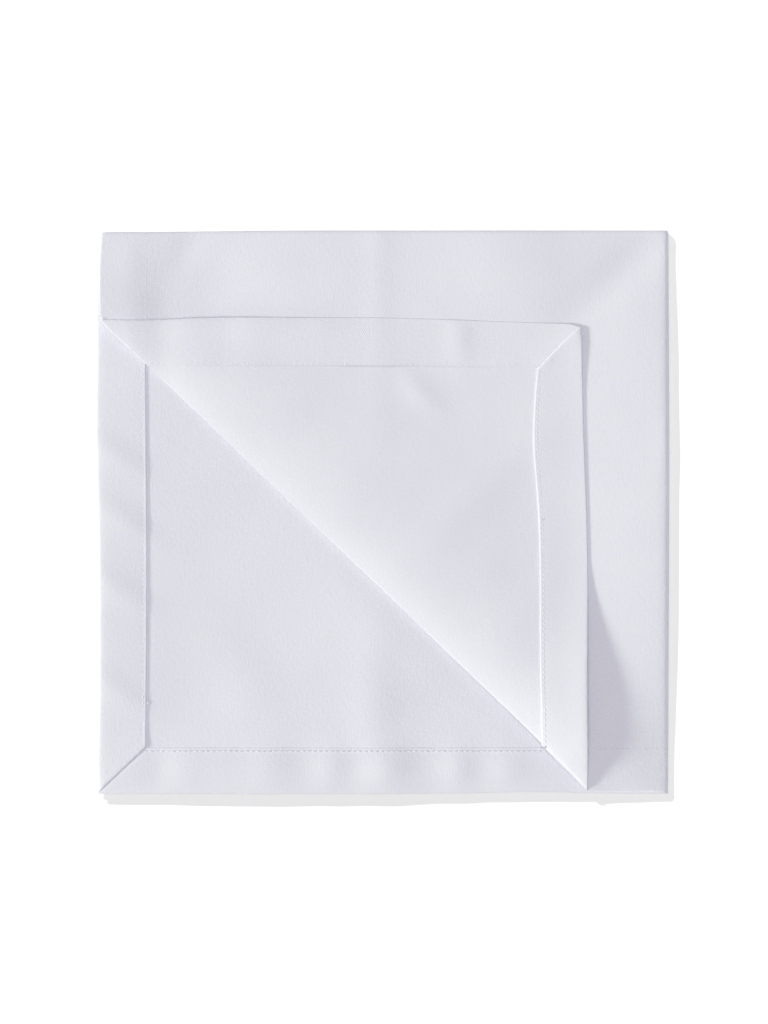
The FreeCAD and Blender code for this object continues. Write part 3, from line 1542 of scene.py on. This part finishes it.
# How the second leaf lies.
SECOND_LEAF = swells_of(
    *((x, -113, height, 9, width, 90) for x, height, width in HEM_RIPPLES),
    *((x, y, 0.9, 14, 4.5, -35) for x, y in LEFT_RIPPLES),
    (-81.7, 5.5, 0.4, 30, 15, 60),
    (-37.4, -38.7, -0.6, 35, 18, 20),
    (-64, -74.2, 0.8, 25, 14, -50),
    (29, -83, -0.6, 25, 15, 10),
    (-4, -83, 1, 30, 10, 90),
    (-0.2, -65.3, 0.5, 60, 30, 90),
    (-60, -128, 1.8, 80, 14),
    (16, -52, -0.5, 66, 7, -44),
    (72, -126, 0.6, 20, 12),
    (-125, -30, 0.9, 75, 16, 90),
)
# Creases and puckers of the corner that is turned back.
TURNED_CORNER = swells_of(
    (-88, 75, 1.4, 16, 18),
    (88, 78, 0.9, 16, 14, 90),
    (-27.7, 80.4, 0.25, 4, 2.5),
    (33, 75.5, 0.8, 9, 4.5, 100),
    (71.1, 66.6, 0.25, 3, 3),
    (15.7, 53.3, 0.9, 12, 4.5, -45),
    (37.9, 5.5, 0.8, 30, 9, 42),
    (-59.5, 74.2, 0.35, 14, 8, 90),
    (60, -47.6, 0.4, 30, 10, 60),
    (-10.8, 18.8, 0.3, 25, 12, 60),
)
# How the turned corner's edges and seams bow.
CORNER_DRIFTS = drifts_of(
    (1.6, 0, 90.1, -21, 50, 30, 90),
    (-1.6, 0, 67, 30, 22, 9, 90),
    (0.8, 0, 67, 63, 8, 9, 90),
    (0, 2.6, -5, 86, 62, 14),
    (0, 1.9, -80, 86, 38, 12),
    (-0.3, -1.4, 88, 84, 4, 4),
)
# How the diagonal fold and its ends bow.
FOLD_DRIFTS = drifts_of(
    (0, 1.1, -124, 85, 14, 6),
    (-1.4, 0, -125.5, 110, 18, 10, 90),
    (0.6, 0.6, 15.7, -52, 75, 20, -45),
    (0.6, 0.6, 62, -98, 32, 20, -45),
)
# How the folded napkin's outer edges bow.
OUTLINE_DRIFTS = drifts_of(
    (0.75, 0, -105.4, -20, 75, 7, 90),
    (0, 0.8, 66, -125, 22, 10),
    (-0.8, 0, -125, 90, 16, 14, 90),
    (-1.45, 0, -127, 42, 44, 14, 90),
    (-0.75, 0, -127, -118, 24, 14, 90),
    (0.45, 0, 127, 20, 90, 14, 90),
    (0, -0.7, -112, 124, 42, 12),
    (0.5, -0.5, -126, 125, 3, 3),
)
# Where a hem's inner edge stands off the cloth or lies closer, on the cut cloth.
OPENINGS = swells_of(
    (-269, -160, 0.35, 12, 2, 90),
    (-150, -268.8, 0.22, 90, 6),
    (-270.4, 140, 0.18, 110, 0.9, 90),
    (-140, 268.8, -0.36, 160, 4.5),
)
# Where the seam draws its stitches down, on the open napkin.
DRAWN_IN = swells_of((-229, 140, 0.27, 120, 12, 90))
# Painted shade: dark lines along a hem's rim, on the cut cloth, each with its strength for a
# height.
PAINTED_RIM_SHADES = swells_of((-270.1, -150, 0.32, 70, 0.45, 90), (-270.1, -158, 0.4, 15, 0.45, 90))
# Loose ends of thread on the open napkin, by place, angle, length and height.
THREAD_ENDS = (
    ThreadEnd(-231, -175, 65, 2.2, 0.9),
    ThreadEnd(-231.2, -146, 20, 1.8, 0.9),
    ThreadEnd(-160.5, -230, 60, 2.4, 0.9),
    ThreadEnd(-229.3, 208.6, 75, 2.6, 0.35),
)


def main() -> None:
    """Builds the napkin and its stage."""
    logging.basicConfig(level=logging.INFO, format="%(name)s: %(message)s")
    outline = Outline.of_node(NODE)
    leaves = Leaves(outline, top_swells=TOP_LEAF, second_swells=SECOND_LEAF)
    diagonal = DiagonalFold(swells=TURNED_CORNER, drifts=CORNER_DRIFTS, fold_drifts=FOLD_DRIFTS)
    quarters = QuarterFolds(outline, leaves)
    folding = Folding(quarters, diagonal, OUTLINE_DRIFTS)
    cloth = NapkinCloth(folding, openings=OPENINGS)
    napkin = cloth.build(ClothFinish.of_cloth(cloth, PAINTED_RIM_SHADES).material())
    stitching = Stitching(cloth, THREAD_ENDS, DRAWN_IN).build(ThreadFinish().material())
    for piece in (napkin, stitching):
        LOG.info("%s: %d faces", piece.name, len(piece.data.polygons))
    cloth.cut_size
    cloth.cut_area
    Studio().build([napkin, stitching])


if __name__ == "__main__":
    main()
